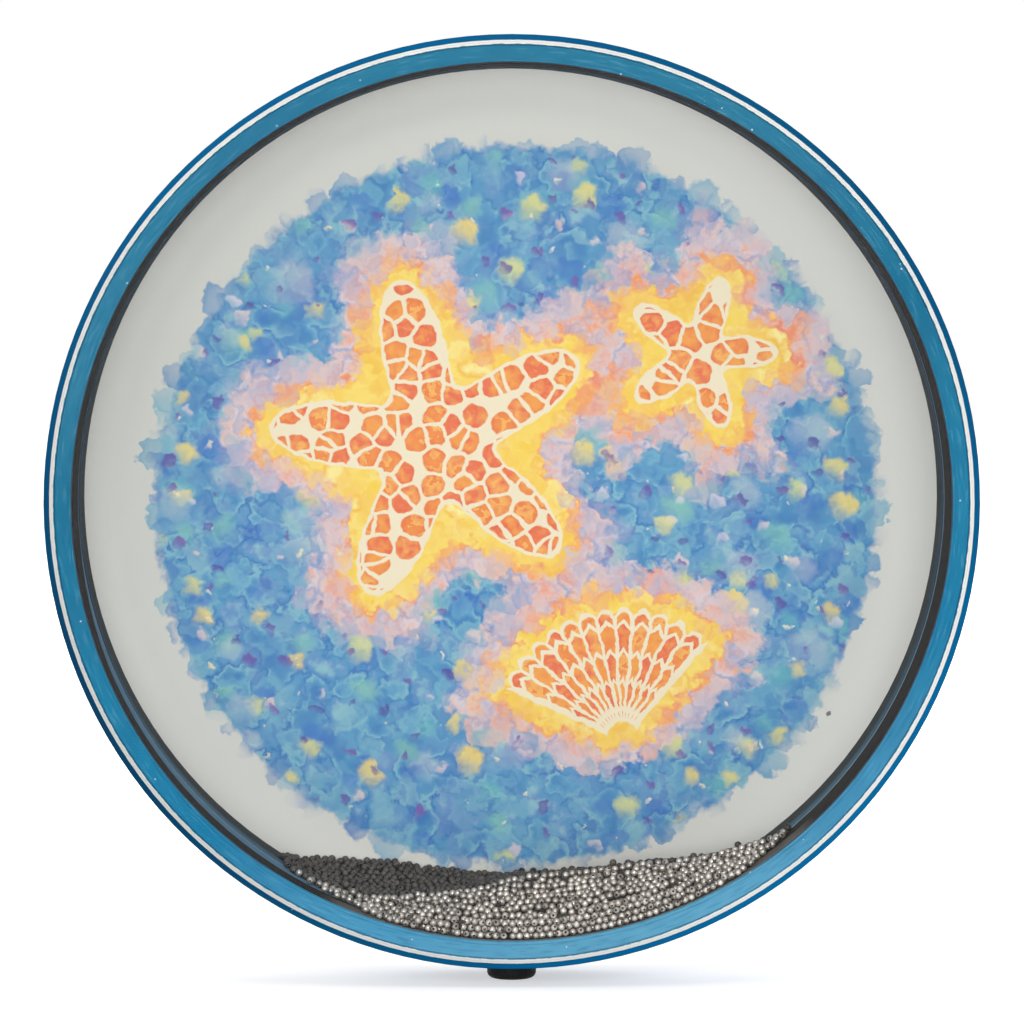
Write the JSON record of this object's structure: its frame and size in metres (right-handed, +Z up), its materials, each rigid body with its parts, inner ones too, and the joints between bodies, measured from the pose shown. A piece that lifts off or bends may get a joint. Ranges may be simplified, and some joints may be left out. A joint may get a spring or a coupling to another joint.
{
  "type": "ocean drum",
  "caption": "Shallow round frame drum with a clear front head, a printed white rear head and loose steel beads that roll round inside it with the sound of surf.",
  "frame": {"origin": "middle of the rear head's outer face, on the drum's axis", "axes": "+Y along the drum's axis, out of the rear head; the clear head faces -Y; +Z up with the beads and the fill plug at the bottom; +X to the right seen from the clear head"},
  "size_m": [0.4064, 0.0635, 0.4147],
  "materials": {
    "shell": "stained ply, satin",
    "outer_wrap": "gloss",
    "hoop": "satin",
    "clear_film": "clear gloss film",
    "printed_film": "satin film, printed inside",
    "front_lining": "matte",
    "rear_lining": "matte",
    "plug": "matte",
    "bead": "polished steel",
    "bead_mass": "dull"
  },
  "bodies": {
    "drum": {"shell": "shell", "outer_wrap": "outer_wrap", "front_hoop": "hoop", "rear_hoop": "hoop", "front_head": "clear_film", "rear_head": "printed_film", "front_lining": "front_lining", "rear_lining": "rear_lining"},
    "plug": {"fill_plug": "plug"},
    "front_heap": {"front_bead_mass": "bead_mass", "front_beads": "bead", "front_top_beads": "bead"},
    "middle_heap": {"middle_bead_mass": "bead_mass", "middle_beads": "bead"},
    "rear_heap": {"rear_bead_mass": "bead_mass", "rear_beads": "bead"}
  },
  "joints": [
    {"name": "plug_pull", "type": "slide", "parent": "drum", "child": "plug", "axis": [0, 0, -1], "range_m": [0, 0.02]},
    {"name": "front_roll", "type": "hinge", "parent": "drum", "child": "front_heap", "pos_m": [0, -0.0525, 0], "axis": [0, 1, 0], "continuous": true},
    {"name": "middle_roll", "type": "hinge", "parent": "drum", "child": "middle_heap", "pos_m": [0, -0.03175, 0], "axis": [0, 1, 0], "continuous": true},
    {"name": "rear_roll", "type": "hinge", "parent": "drum", "child": "rear_heap", "pos_m": [0, -0.011, 0], "axis": [0, 1, 0], "continuous": true}
  ]
}
